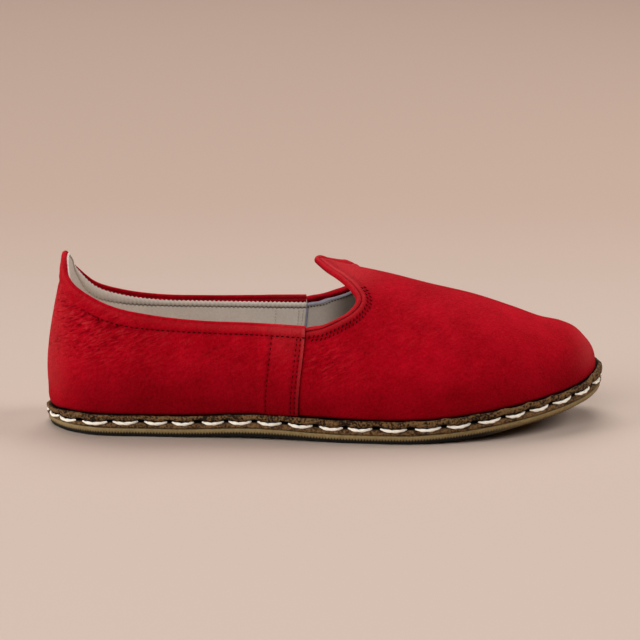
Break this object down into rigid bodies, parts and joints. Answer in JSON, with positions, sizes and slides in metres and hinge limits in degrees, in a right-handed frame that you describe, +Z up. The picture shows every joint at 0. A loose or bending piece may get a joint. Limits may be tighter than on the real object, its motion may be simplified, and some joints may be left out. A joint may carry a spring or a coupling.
{
  "type": "slip-on shoe",
  "caption": "Low slip-on shoe with a nubuck upper in vamp and quarter, peaked throat and heel, hand sewn to a leather welt and sole with a thin rubber tread",
  "frame": {"origin": "On the floor under the middle of the sole's length and width", "axes": "+X to the toe, +Y to the inner side of the foot, +Z up"},
  "size_m": [0.278, 0.099, 0.0859],
  "materials": {
    "tread_rubber": "moulded tan rubber, matt",
    "sole_leather": "cut edge of brown sole leather, matt",
    "welt_leather": "brown leather with a fuzzy cut edge, matt",
    "lining_leather": "cream lining leather, smooth and matt",
    "upper_nubuck": "red nubuck with a soft nap",
    "binding_nubuck": "folded red nubuck strip with a soft nap",
    "sole_thread": "thick twisted cream thread, waxed",
    "seam_thread": "thin dark red thread"
  },
  "bodies": {
    "root": {"outsole": "tread_rubber", "sole_leather": "sole_leather", "welt": "welt_leather", "insole": "lining_leather", "upper": "upper_nubuck", "collar_binding": "binding_nubuck", "throat_binding": "binding_nubuck"}
  },
  "joints": []
}
